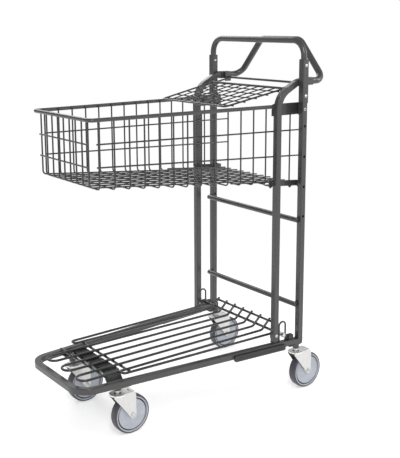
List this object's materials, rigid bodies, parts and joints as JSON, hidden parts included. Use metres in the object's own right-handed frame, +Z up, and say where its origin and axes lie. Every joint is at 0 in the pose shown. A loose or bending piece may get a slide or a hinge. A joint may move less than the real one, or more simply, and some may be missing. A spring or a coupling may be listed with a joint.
{
  "type": "shopping trolley",
  "caption": "Nesting two-level shopping trolley: tapered wire basket over a low hinged wire deck, on a tube frame with swivel castors, push handle and top hoop.",
  "frame": {"origin": "on the floor, at the middle of the trolley's length and width, with every castor trailing to the rear", "axes": "+X the front, the narrow nose of the basket and deck; +Y the left side; +Z up"},
  "size_m": [0.935, 0.502, 1.201],
  "materials": {
    "frame": "satin charcoal powder coat on tube and plate",
    "wire": "satin charcoal powder coat on welded wire",
    "zinc": "bright zinc plate on pressed steel",
    "fasteners": "bright zinc plate",
    "hub": "moulded grey plastic",
    "tyre": "smooth grey-black rubber tread",
    "rubber": "matt black ribbed rubber",
    "plastic": "matt dark moulded plastic"
  },
  "bodies": {
    "trolley": {"base_frame": "frame", "front_cross_member": "frame", "deck_rest_pads": "rubber", "side_bumper_left": "plastic", "side_bumper_right": "plastic", "castor_sockets": "frame", "front_post_left": "frame", "front_post_right": "frame", "rear_post_left": "frame", "rear_post_right": "frame", "rear_post_feet": "frame", "post_sleeve_left": "frame", "post_sleeve_right": "frame", "sleeve_bolts": "fasteners", "top_hoop": "frame", "handle_socket_left": "frame", "handle_socket_right": "frame", "handle": "frame", "rung_lower": "frame", "rung_upper": "frame", "basket_rim": "frame", "basket_front": "wire", "basket_side_left": "wire", "basket_side_right": "wire", "basket_floor": "wire", "basket_upper_bracket_left": "frame", "basket_upper_bracket_right": "frame", "basket_lower_bracket_left": "frame", "basket_lower_bracket_right": "frame", "basket_bolts": "frame", "flap_pivot_brackets": "frame", "deck_hinge_brackets": "frame", "deck_hinge_bolts": "fasteners", "deck_stop_loops": "wire", "frame_buffer_blocks": "plastic", "kingpin_front_left": "zinc", "kingpin_front_right": "zinc", "kingpin_rear_left": "zinc", "kingpin_rear_right": "zinc"},
    "flap": {"flap_grid": "wire", "flap_rod_caps": "plastic"},
    "deck": {"deck_grid": "wire", "deck_hinge_nuts": "fasteners"},
    "castor_front_left": {"fork_front_left": "zinc", "axle_front_left": "zinc"},
    "wheel_front_left": {"wheel_hub_front_left": "hub", "tyre_front_left": "tyre"},
    "castor_front_right": {"fork_front_right": "zinc", "axle_front_right": "zinc"},
    "wheel_front_right": {"wheel_hub_front_right": "hub", "tyre_front_right": "tyre"},
    "castor_rear_left": {"fork_rear_left": "zinc", "axle_rear_left": "zinc"},
    "wheel_rear_left": {"wheel_hub_rear_left": "hub", "tyre_rear_left": "tyre"},
    "castor_rear_right": {"fork_rear_right": "zinc", "axle_rear_right": "zinc"},
    "wheel_rear_right": {"wheel_hub_rear_right": "hub", "tyre_rear_right": "tyre"}
  },
  "joints": [
    {"name": "flap_swing", "type": "hinge", "parent": "trolley", "child": "flap", "pos_m": [-0.3795, 0, 1.052], "axis": [0, 1, 0], "range_deg": [0, 78]},
    {"name": "deck_lift", "type": "hinge", "parent": "trolley", "child": "deck", "pos_m": [-0.2785, 0, 0.213], "axis": [0, -1, 0], "range_deg": [0, 40]},
    {"name": "swivel_front_left", "type": "hinge", "parent": "trolley", "child": "castor_front_left", "pos_m": [0.3205, 0.141, 0.14], "axis": [0, 0, 1], "continuous": true},
    {"name": "spin_front_left", "type": "hinge", "parent": "castor_front_left", "child": "wheel_front_left", "pos_m": [0.2765, 0.141, 0.0625], "axis": [0, 1, 0], "continuous": true},
    {"name": "swivel_front_right", "type": "hinge", "parent": "trolley", "child": "castor_front_right", "pos_m": [0.3205, -0.141, 0.14], "axis": [0, 0, 1], "continuous": true},
    {"name": "spin_front_right", "type": "hinge", "parent": "castor_front_right", "child": "wheel_front_right", "pos_m": [0.2765, -0.141, 0.0625], "axis": [0, 1, 0], "continuous": true},
    {"name": "swivel_rear_left", "type": "hinge", "parent": "trolley", "child": "castor_rear_left", "pos_m": [-0.3445, 0.224, 0.14], "axis": [0, 0, 1], "continuous": true},
    {"name": "spin_rear_left", "type": "hinge", "parent": "castor_rear_left", "child": "wheel_rear_left", "pos_m": [-0.3885, 0.224, 0.0625], "axis": [0, 1, 0], "continuous": true},
    {"name": "swivel_rear_right", "type": "hinge", "parent": "trolley", "child": "castor_rear_right", "pos_m": [-0.3445, -0.224, 0.14], "axis": [0, 0, 1], "continuous": true},
    {"name": "spin_rear_right", "type": "hinge", "parent": "castor_rear_right", "child": "wheel_rear_right", "pos_m": [-0.3885, -0.224, 0.0625], "axis": [0, 1, 0], "continuous": true}
  ]
}
